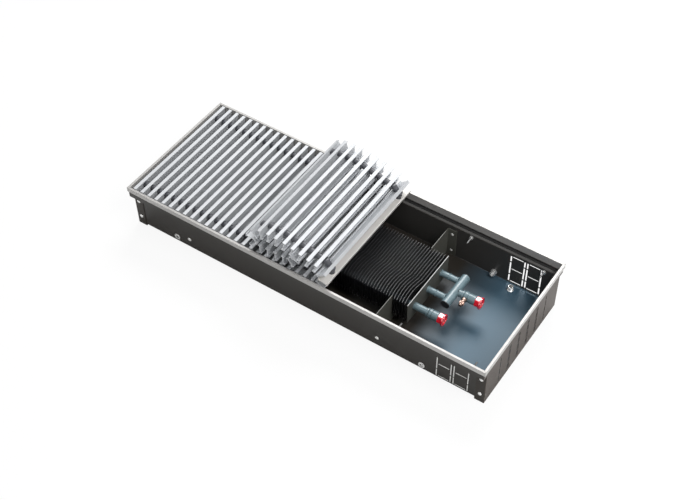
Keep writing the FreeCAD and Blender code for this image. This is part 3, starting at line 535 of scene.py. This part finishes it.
def soften(name, material, width, segments=2, prepare=None):
    """A CAD node again with clean faces and its sharp edges rounded, in place of the node."""
    mesh = merged(name)
    bmesh.ops.dissolve_limit(mesh, angle_limit=FLAT, verts=mesh.verts, edges=mesh.edges,
                             use_dissolve_boundaries=False, delimit=set())
    if prepare:
        prepare(mesh)
    sharp = [e for e in mesh.edges if len(e.link_faces) == 2 and e.calc_face_angle(0.0) > SHARP]
    bevel(mesh, sharp, width, segments)
    finish_piece("dressed_" + name, mesh, body_of(name), material, (name,))


def paint(name, material):
    """A CAD node that keeps its shape and gets a finish."""
    data = frame["nodes"][name].data
    data.materials.clear()
    data.materials.append(material)


def along_x(name):
    """The middle of a CAD node's left face, its length along X and its half width."""
    low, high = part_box(name)
    middle = (low + high) / 2
    return Vector((low.x, middle.y, middle.z)), high.x - low.x, (high.y - low.y) / 2


def solids_of(name):
    """The box of each separate solid in a CAD node."""
    mesh = merged(name)
    found, seen = [], set()
    for first in mesh.verts:
        if first in seen:
            continue
        seen.add(first)
        group, queue = [], [first]
        while queue:
            vert = queue.pop()
            group.append(vert.co.copy())
            for edge in vert.link_edges:
                other = edge.other_vert(vert)
                if other not in seen:
                    seen.add(other)
                    queue.append(other)
        found.append((Vector(map(min, zip(*group))), Vector(map(max, zip(*group)))))
    mesh.free()
    return found


def block(mesh, low, high):
    """A box between two corners."""
    verts = bmesh.ops.create_cube(mesh, size=1.0)["verts"]
    bmesh.ops.scale(mesh, vec=Vector(high) - Vector(low), verts=verts)
    bmesh.ops.translate(mesh, vec=(Vector(high) + Vector(low)) / 2, verts=verts)


def turned(mesh, outline, start, axis, segments):
    """A solid of revolution: outline pairs run along the axis and out from it."""
    turn = AXES[axis]
    across = turn @ Vector((1, 0, 0))
    along = turn @ Vector((0, 0, 1))
    verts = [mesh.verts.new(start + along * a + across * r) for a, r in outline]
    edges = [mesh.edges.new(pair) for pair in zip(verts, verts[1:])]
    bmesh.ops.spin(mesh, geom=verts + edges, cent=start, axis=along, angle=2 * pi,
                   steps=segments, use_merge=True, use_duplicate=False)
    bmesh.ops.remove_doubles(mesh, verts=mesh.verts, dist=DOUBLE)
    bmesh.ops.recalc_face_normals(mesh, faces=mesh.faces)


def open_slot(vert, axis, middle, share):
    """Moves a vertex on a slot's edge away from the slot's middle."""
    offset = vert.co[axis] - middle
    if abs(abs(offset) - SLOT / 2) < NEAR:
        vert.co[axis] += share * offset


# Operators, one for each piece or group

class HEATER_OT_tray(Operator):
    """Tray, end caps and the strips on the ledges"""
    bl_idname = "heater.tray"
    bl_label = "Tray"

    def wall(self):
        """From the middle to the outer face of a long wall."""
        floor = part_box("tray_trough")[0].z
        return max(abs(v.co.y) for v in frame["nodes"]["tray_trough"].data.vertices
                   if v.co.z < floor + 2 * SHEET)

    def windows(self):
        """The last upright slot of each punched window, and the height of their top."""
        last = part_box("frame_rail_right")[1].x - WINDOW_INSET
        return (last, last - WINDOW_STEP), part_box("frame_rail_front")[1].z - WINDOW_DROP

    def bends(self, mesh):
        """Opens the back wall's slots and rounds the two long bends, outside and inside."""
        wall = self.wall()
        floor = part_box("tray_trough")[0].z
        ends, top = self.windows()
        for vert in mesh.verts:
            if vert.co.y < wall - SHEET - NEAR or vert.co.z > top + NEAR:
                continue
            for end in ends:
                for x in (end - WINDOW_WIDTH, end):
                    open_slot(vert, 0, x, UPRIGHTS_OPENED)
                if end - WINDOW_WIDTH + SLOT - NEAR < vert.co.x < end - SLOT + NEAR:
                    for drop, share in zip(BAR_DROPS, BARS_OPENED):
                        open_slot(vert, 2, top - drop - SLOT / 2, share)
        for height, reach, radius in ((floor, wall, sizes().bend_outside),
                                      (floor + SHEET, wall - SHEET, sizes().bend_inside)):
            edges = [e for e in mesh.edges if lies(e, 2, height) and lies(e, 1, reach)]
            bevel(mesh, edges, radius, 5)

    def folds(self, mesh):
        """Opens the right end plate's slots and rounds the edges between plate and flanges."""
        foot = 10 * MM  # the cap's width is taken below this height
        shortest = 15 * MM
        steep = 1.0  # in radians
        corner = max(abs(v.co.x) for v in mesh.verts)
        side = max(abs(v.co.y) for v in mesh.verts if v.co.z < foot)
        top = self.windows()[1]
        columns = []
        for column in range(COLUMN_COUNT):
            middle = COLUMN_STEP * (column - (COLUMN_COUNT - 1) / 2)
            single = column in (0, COLUMN_COUNT - 1)
            columns += [middle] if single else [middle - SLOT, middle + SLOT]
        for vert in mesh.verts:
            if vert.co.x > corner - SHEET - NEAR and vert.co.z < top + NEAR:
                for y in columns:
                    open_slot(vert, 1, y, COLUMNS_OPENED)
        edges = [e for e in mesh.edges if e.calc_length() > shortest
                 and len(e.link_faces) == 2 and e.calc_face_angle(0.0) > steep
                 and sum(lies(e, axis, reach)
                         for axis, reach in ((0, corner), (1, side), (2, 0.0))) == 2]
        bevel(mesh, edges, sizes().fold_round, 4)

    def seams(self):
        """Bright metal left in the slots of the front wall's windows."""
        front = -self.wall()
        ends, top = self.windows()
        bottom = top - BAR_DROPS[-1] - SLOT
        mesh = bmesh.new()
        for end in ends:
            near, far = (front + depth for depth in UPRIGHT_METAL)
            for x in (end - WINDOW_WIDTH, end):
                block(mesh, (x - SLOT / 2, near, bottom), (x + SLOT / 2, far, top))
            near, far = (front + depth for depth in BAR_METAL)
            for drop in BAR_DROPS:
                block(mesh, (end - WINDOW_WIDTH + SLOT, near, top - drop - SLOT),
                      (end - SLOT, far, top - drop))
        finish_piece("knockout_seams", mesh, "tray", bare_steel())

    def execute(self, context):
        soften("tray_trough", tray_paint(), sizes().edge_round, 1, self.bends)
        soften("end_cap_left", end_paint_painted_light(), sizes().edge_round, 1, self.folds)
        soften("end_cap_right", end_paint_painted_light(), sizes().edge_round, 1, self.folds)
        soften("ledge_cushions", strip_rubber(), sizes().edge_round)
        self.seams()
        return {"FINISHED"}


class HEATER_OT_rails(Operator):
    """The four rails of the edge frame"""
    bl_idname = "heater.rails"
    bl_label = "Edge frame"

    def execute(self, context):
        for side in ("front", "back", "left", "right"):
            soften("frame_rail_" + side, rail_metal(), sizes().rail_round, 3)
        return {"FINISHED"}


class HEATER_OT_grille(Operator):
    """Slats, spacers and cores of the grille, flat and rolled"""
    bl_idname = "heater.grille"
    bl_label = "Grille"

    def execute(self, context):
        # These two rolled slats keep the flat slats' aluminium; the rest of the roll gets the darker
        # copy as painted shade
        slats_without_painted_shade = ("roll_slats_09", "roll_slats_10")
        for name in sorted(frame["nodes"]):
            # Painted light: the strip slat gets a warmer, lighter copy of the aluminium
            if name == "roll_slats_02":
                soften(name, strip_metal(), sizes().slat_round)
            elif name.startswith("roll_slats") and name not in slats_without_painted_shade:
                soften(name, roll_metal(), sizes().slat_round)
            elif "_slats" in name:
                soften(name, slat_metal(), sizes().slat_round)
            elif "_spacers" in name:
                soften(name, spacer_black(), sizes().spacer_round)
        paint("grille_cores", zinc_plate())
        soften("core_end_stops", zinc_plate(), sizes().spacer_round)
        soften("roll_end_stops", zinc_plate(), sizes().spacer_round)
        return {"FINISHED"}


class HEATER_OT_exchanger(Operator):
    """Fins, end plates and brackets"""
    bl_idname = "heater.exchanger"
    bl_label = "Heat exchanger"

    def fins_in_brackets(self):
        """A narrower fin in the cut-out of each bracket, so that the row has no gap."""
        low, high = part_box("exchanger_fins")
        thick = 0.45 * MM
        margin = 3.3 * MM
        clear = 0.6 * MM
        bowed = 66 * MM
        steps = 48
        front = low.y + margin
        back = high.y - margin
        bend = low.y + bowed
        middle = (low.y + bend) / 2
        mesh = bmesh.new()
        for x in (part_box("support_bracket_left")[1].x - clear,
                  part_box("support_bracket_right")[0].x + clear):
            made = bmesh.ops.create_grid(mesh, x_segments=steps, y_segments=1, size=0.5)["verts"]
            for vert in made:
                y = front + (vert.co.x + 0.5) * (back - front)
                share = max(0.0, 1 - ((y - middle) / (bend - middle)) ** 2)
                vert.co = Vector((x - share * sizes().fin_bow - thick / 2, y,
                                  low.z + (vert.co.y + 0.5) * (high.z - low.z)))
            faces = list({face for vert in made for face in vert.link_faces})
            pulled = bmesh.ops.extrude_face_region(mesh, geom=faces)["geom"]
            bmesh.ops.translate(mesh, vec=(thick, 0, 0),
                                verts=[g for g in pulled if isinstance(g, bmesh.types.BMVert)])
        bmesh.ops.recalc_face_normals(mesh, faces=mesh.faces)
        finish_piece("fins_in_brackets", mesh, "tray", fin_lacquer())

    def execute(self, context):
        paint("exchanger_fins", fin_lacquer())
        soften("exchanger_end_plates", plate_paint(), sizes().edge_round, 1)
        soften("support_bracket_left", bracket_paint(), sizes().edge_round, 1)
        soften("support_bracket_right", bracket_paint(), sizes().edge_round, 1)
        self.fins_in_brackets()
        return {"FINISHED"}


class HEATER_OT_pipes(Operator):
    """Tubes and headers with solder beads at their joints"""
    bl_idname = "heater.pipes"
    bl_label = "Pipes"

    def ring(self, radius, bead):
        """The outline of a bead round a pipe, for turned()."""
        steps = 8
        return [(bead * cos(2 * pi * step / steps), radius + bead * sin(2 * pi * step / steps))
                for step in range(steps + 1)]

    def beads(self, name, rows, height, side):
        """Three beads on each tube between the fins and a header on one side of them."""
        bead = sizes().bead
        low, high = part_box(name)
        first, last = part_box("exchanger_end_plates")
        face, plate = (low.x, last.x) if side < 0 else (high.x, first.x)
        mesh = bmesh.new()
        for y in rows:
            for place, lift, thick in ((face + side * bead * 0.2, 0.2 * MM, bead * 1.4),
                                       ((face + plate) / 2, 0.1 * MM, bead),
                                       (plate - side * bead * 0.6, 0.2 * MM, bead)):
                turned(mesh, self.ring(TUBE_RADIUS + lift, thick), Vector((place, y, height)),
                       "X", 28)
        finish_piece(name + "_beads", mesh, "tray", pipe_paint())

    def execute(self, context):
        for name in ("exchanger_tubes", "supply_header", "return_header"):
            soften(name, pipe_paint(), sizes().pipe_round)
        soften("header_plugs", plug_paint(), sizes().pipe_round)
        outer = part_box("exchanger_tubes")[1].y - TUBE_RADIUS
        low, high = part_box("supply_header")
        height = ((low + high) / 2).z
        self.beads("supply_header", (0, outer), height, -1)
        self.beads("return_header", (-outer, 0, outer), height, 1)
        return {"FINISHED"}


class HEATER_OT_connections(Operator):
    """The two unions, their red caps and the air vent"""
    bl_idname = "heater.connections"
    bl_label = "Connections"

    def union(self, name, body):
        """A union with a ring on its neck, two grooves, a chamfered shoulder and a thread end."""
        start, span, widest = along_x(name)
        neck = 7.0 * MM
        ring = 8.5 * MM
        thread = 8.0 * MM
        thread_length = 8.0 * MM
        bore = 4.5 * MM
        bore_depth = 4.0 * MM
        groove = 0.7 * MM
        chamfer = 1.2 * MM
        edge = 0.8 * MM
        shoulder = span - thread_length - body
        outline = [(0.0, 0.0), (0.0, neck), (shoulder - 5 * MM, neck),
                   (shoulder - 5 * MM, ring - 0.3 * MM), (shoulder - 4.6 * MM, ring),
                   (shoulder - edge, ring), (shoulder - edge, neck), (shoulder, neck),
                   (shoulder, widest - chamfer), (shoulder + chamfer, widest)]
        for share in (0.30, 0.36):
            place = shoulder + body * share
            outline += [(place, widest), (place + 0.3 * MM, widest - groove),
                        (place + 0.9 * MM, widest - groove), (place + 1.2 * MM, widest)]
        outline += [(shoulder + body - edge, widest), (shoulder + body, widest - edge),
                    (shoulder + body, thread), (span - 0.4 * MM, thread),
                    (span, thread - 0.4 * MM), (span, bore), (span - bore_depth, bore),
                    (span - bore_depth, 0.0)]
        mesh = bmesh.new()
        turned(mesh, outline, start, "X", 40)
        finish_piece("dressed_" + name, mesh, "tray", pipe_paint(), (name,))

    def cap(self, name):
        """A cap with a six-sided barrel, a round rim and a recessed face with a cross rib."""
        start, length, wide = along_x(name)
        flat = sizes().cap_flat
        corner = flat * 1.11
        hollow = 8.1 * MM
        wall = 3.0 * MM
        recess = 2.2 * MM
        rib_height = 1.2 * MM
        rib_width = 1.4 * MM
        rib_depth = 1.65 * MM
        rib_turn = 0.4
        rim = length - sizes().cap_rim
        outline = [(length - wall, 0.0), (length - wall, hollow), (0.2 * MM, hollow),
                   (0.0, hollow + 0.3 * MM), (0.0, corner - 0.5 * MM), (0.5 * MM, corner),
                   (rim - 0.6 * MM, corner), (rim - 0.2 * MM, corner + 0.1 * MM),
                   (rim, wide - 0.5 * MM), (rim + 0.5 * MM, wide),
                   (length - 0.8 * MM, wide), (length - 0.2 * MM, wide - 0.25 * MM),
                   (length, wide - 0.9 * MM), (length, wide - 3.2 * MM),
                   (length - 0.3 * MM, wide - 3.6 * MM), (length - recess, wide - 4.0 * MM),
                   (length - recess, 0.0)]
        mesh = bmesh.new()
        turned(mesh, outline, start, "X", 96)
        for vert in mesh.verts:
            along = vert.co.x - start.x
            across = Vector((0.0, vert.co.y - start.y, vert.co.z - start.z))
            if along < rim - 0.3 * MM and across.length > hollow + 0.8 * MM:
                angle = Vector((across.y, across.z)).angle_signed(Vector((0.0, 1.0)), 0.0)
                off_flat = (angle + pi / 6) % (pi / 3) - pi / 6
                inset = corner - across.length
                vert.co -= across.normalized() * (across.length
                                                  - min(flat / cos(off_flat), corner) + inset)
        for turn in (0.0, pi / 2):
            rib = bmesh.ops.create_cube(mesh, size=1.0)["verts"]
            bmesh.ops.scale(mesh, vec=(rib_height, 2 * (wide - 4.1 * MM), rib_width), verts=rib)
            bmesh.ops.rotate(mesh, cent=(0, 0, 0),
                             matrix=Matrix.Rotation(turn + rib_turn, 3, "X"), verts=rib)
            bmesh.ops.translate(mesh, vec=start + Vector((length - rib_depth, 0, 0)), verts=rib)
        finish_piece("dressed_" + name, mesh, body_of(name), cap_red(), (name,))

    def vent(self):
        """The vent's stem with a knurled ring, and its slotted screw."""
        low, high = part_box("air_vent_body")
        middle = (low + high) / 2
        start = Vector((middle.x, high.y, middle.z))
        reach = high.y - low.y
        wide = (high.x - low.x) / 2
        stem = 3.6 * MM
        bore = 2.0 * MM
        depth = 1.5 * MM
        knurls = 48
        knurl_depth = 0.45 * MM
        outline = [(0.0, 0.0), (0.0, wide), (reach * 0.42, wide), (reach * 0.45, wide - 0.8 * MM),
                   (reach * 0.5, stem), (reach * 0.66, stem), (reach * 0.68, wide - 0.5 * MM),
                   (reach * 0.71, wide), (reach - 0.5 * MM, wide), (reach, wide - 0.5 * MM),
                   (reach, bore), (reach - depth, bore), (reach - depth, 0.0)]
        mesh = bmesh.new()
        turned(mesh, outline, start, "-Y", knurls)
        for vert in mesh.verts:
            along = start.y - vert.co.y
            across = Vector((vert.co.x - start.x, 0.0, vert.co.z - start.z))
            if along > reach * 0.7 and across.length > wide - 0.2 * MM:
                number = round(Vector((across.x, across.z)).angle_signed(Vector((1, 0)), 0.0)
                               / (2 * pi / knurls))
                if number % 2:
                    vert.co -= across.normalized() * knurl_depth
        finish_piece("dressed_air_vent_body", mesh, "tray", vent_brass(),
                     ("air_vent_body",))
        soften("air_vent_screw", vent_brass(), sizes().nut_round, 3)

    def execute(self, context):
        self.union("inlet_fitting", 20 * MM)
        self.union("outlet_fitting", 24 * MM)
        self.cap("inlet_cap")
        self.cap("outlet_cap")
        self.vent()
        return {"FINISHED"}


class HEATER_OT_fasteners(Operator):
    """Rivets, rivet nuts and side screws"""
    bl_idname = "heater.fasteners"
    bl_label = "Fasteners"

    def outside(self, low, high):
        """The outer end of a fastener in a long wall, and the axis that points inwards."""
        start = (low + high) / 2
        if start.y < 0:
            start.y = low.y
            return start, "Y"
        start.y = high.y
        return start, "-Y"

    def nuts(self, name):
        """Rivet nuts with a bulge behind the sheet and grooves round the body."""
        flange = 6.75 * MM
        thick = 1.0 * MM
        hole = 5.5 * MM
        bulge = 6.4 * MM
        body = 5.3 * MM
        groove = 4.9 * MM
        bore = 3.4 * MM
        end = 13 * MM
        outline = [(0.0, bore), (0.0, flange - 0.4 * MM), (0.4 * MM, flange), (thick, flange),
                   (thick + 0.02 * MM, hole), (2 * MM, hole), (2.6 * MM, bulge),
                   (4.6 * MM, bulge), (5.2 * MM, body)]
        for number in range(5):
            place = (5.6 + 1.3 * number) * MM
            outline += [(place, body), (place + 0.2 * MM, groove),
                        (place + 0.5 * MM, groove), (place + 0.7 * MM, body)]
        outline += [(end - 0.4 * MM, body), (end, groove), (end, bore), (0.0, bore)]
        mesh = bmesh.new()
        for low, high in solids_of(name):
            if name.startswith("floor"):
                start, axis = (low + high) / 2, "Z"
                start.z = low.z
            else:
                start, axis = self.outside(low, high)
            turned(mesh, outline, start, axis, 36)
        finish_piece("dressed_" + name, mesh, "tray", zinc_plate(), (name,))

    def screws(self):
        """Screws with a thread along their length."""
        pitch = 0.7 * MM
        tip = 0.3 * MM
        mesh = bmesh.new()
        for low, high in solids_of("side_fixing_screws"):
            start, axis = self.outside(low, high)
            length, radius = high.y - low.y, (high.x - low.x) / 2
            outline = [(0.0, 0.0), (0.0, radius - tip), (tip, radius)]
            for turn in range(int(length / pitch) - 1):
                place = tip + pitch * turn
                outline += [(place + pitch / 2, radius - pitch / 2), (place + pitch, radius)]
            outline += [(length, radius - 0.4 * MM), (length, 0.0)]
            turned(mesh, outline, start, axis, 20)
        finish_piece("dressed_side_fixing_screws", mesh, "tray", screw_steel(),
                     ("side_fixing_screws",))

    def execute(self, context):
        paint("end_cap_rivets", zinc_plate())
        paint("bracket_rivets", bare_steel())
        soften("side_fixing_nuts", zinc_plate(), sizes().nut_round)
        self.nuts("wall_rivet_nuts")
        self.nuts("floor_rivet_nuts")
        self.screws()
        return {"FINISHED"}


class HEATER_OT_stage(Operator):
    """Floor, lights, world and camera"""
    bl_idname = "heater.stage"
    bl_label = "Stage"

    def ground(self):
        """A wide pale floor that shows the object's shadow and reads white to the camera."""
        mesh = bmesh.new()
        bmesh.ops.create_grid(mesh, x_segments=1, y_segments=1, size=GROUND_SIZE)
        data = bpy.data.meshes.new("stage_floor")
        mesh.to_mesh(data)
        mesh.free()
        ground = bpy.data.objects.new("stage_floor", data)
        bpy.context.scene.collection.objects.link(ground)
        material = bpy.data.materials.new("stage_white")
        material.use_nodes = True
        tree = material.node_tree
        body = tree.nodes["Principled BSDF"]
        body.inputs["Base Color"].default_value = tuple(colors().background) + (1.0,)
        body.inputs["Roughness"].default_value = 0.9
        body.inputs["Specular IOR Level"].default_value = 0.0
        glow = node(tree, "ShaderNodeEmission", in_Strength=1.0)
        paths = tree.nodes.new("ShaderNodeLightPath")
        share = node(tree, "ShaderNodeMath", operation="MULTIPLY")
        share.inputs[1].default_value = GROUND_GLOW
        mix = tree.nodes.new("ShaderNodeMixShader")
        link = tree.links.new
        link(paths.outputs["Is Camera Ray"], share.inputs[0])
        link(share.outputs[0], mix.inputs["Fac"])
        link(body.outputs["BSDF"], mix.inputs[1])
        link(glow.outputs["Emission"], mix.inputs[2])
        link(mix.outputs["Shader"], tree.nodes["Material Output"].inputs["Surface"])
        data.materials.append(material)

    def lamp(self, name, place, size, power):
        """A rectangular soft light that points at the heater."""
        light = bpy.data.lights.new(name, "AREA")
        light.shape = "RECTANGLE"
        light.size, light.size_y = size
        light.energy = power
        holder = bpy.data.objects.new(name, light)
        holder.location = place
        aim = Vector(LAMP_AIM) - Vector(place)
        holder.rotation_euler = aim.to_track_quat("-Z", "Y").to_euler()
        bpy.context.scene.collection.objects.link(holder)

    def world(self):
        """A plain sky: white where it is seen or mirrored, softer where it lights."""
        world = bpy.data.worlds.new("studio")
        world.use_nodes = True
        tree = world.node_tree
        tree.nodes.clear()
        out = tree.nodes.new("ShaderNodeOutputWorld")
        paths = tree.nodes.new("ShaderNodeLightPath")
        seen = node(tree, "ShaderNodeMath", operation="MAXIMUM")
        clear = node(tree, "ShaderNodeMath", operation="MAXIMUM")
        soft = node(tree, "ShaderNodeBackground", in_Strength=SKY_LIGHT)
        white = node(tree, "ShaderNodeBackground", in_Strength=1.0)
        for shader in (soft, white):
            shader.inputs["Color"].default_value = (1.0, 1.0, 1.0, 1.0)
        mix = tree.nodes.new("ShaderNodeMixShader")
        link = tree.links.new
        link(paths.outputs["Is Camera Ray"], seen.inputs[0])
        link(paths.outputs["Is Glossy Ray"], seen.inputs[1])
        link(seen.outputs[0], clear.inputs[0])
        link(paths.outputs["Is Transmission Ray"], clear.inputs[1])
        link(clear.outputs[0], mix.inputs["Fac"])
        link(soft.outputs[0], mix.inputs[1])
        link(white.outputs[0], mix.inputs[2])
        link(mix.outputs[0], out.inputs["Surface"])
        bpy.context.scene.world = world

    def camera(self):
        """The photograph's viewpoint, fitted to the tray's long edges."""
        right = Vector(CAMERA_RIGHT).normalized()
        back = Vector(CAMERA_BACK).normalized()
        up = back.cross(right).normalized()
        lens = bpy.data.cameras.new("photo_camera")
        lens.sensor_width = CAMERA_SENSOR
        lens.lens = CAMERA_LENS
        camera = bpy.data.objects.new("photo_camera", lens)
        camera.rotation_mode = "QUATERNION"
        camera.location = CAMERA_PLACE
        camera.rotation_quaternion = Matrix((right, up, back)).transposed().to_quaternion()
        bpy.context.scene.collection.objects.link(camera)
        bpy.context.scene.camera = camera

    def execute(self, context):
        self.ground()
        self.world()
        for lamp in LAMPS:
            self.lamp(*lamp)
        self.camera()
        context.scene.view_settings.view_transform = "Standard"
        return {"FINISHED"}


OPERATORS = (HEATER_OT_tray, HEATER_OT_rails, HEATER_OT_grille, HEATER_OT_exchanger,
             HEATER_OT_pipes, HEATER_OT_connections, HEATER_OT_fasteners, HEATER_OT_stage)


class HEATER_PT_panel(Panel):
    """Builds the heater piece by piece"""
    bl_label = "Trench convector heater"
    bl_idname = "HEATER_PT_panel"
    bl_space_type = "VIEW_3D"
    bl_region_type = "UI"
    bl_category = "Heater"

    def draw(self, context):
        for operator in OPERATORS:
            self.layout.operator(operator.bl_idname)
        for group in (context.scene.heater_sizes, context.scene.heater_colors):
            for name in group.__annotations__:
                self.layout.prop(group, name)


CLASSES = (HeaterSizes, HeaterColors) + OPERATORS + (HEATER_PT_panel,)


def register():
    for item in CLASSES:
        bpy.utils.register_class(item)
    bpy.types.Scene.heater_sizes = PointerProperty(type=HeaterSizes)
    bpy.types.Scene.heater_colors = PointerProperty(type=HeaterColors)


def unregister():
    del bpy.types.Scene.heater_colors
    del bpy.types.Scene.heater_sizes
    for item in reversed(CLASSES):
        bpy.utils.unregister_class(item)


def main():
    register()
    for operator in OPERATORS:
        family, name = operator.bl_idname.split(".")
        getattr(getattr(bpy.ops, family), name)()


if __name__ == "__main__":
    main()
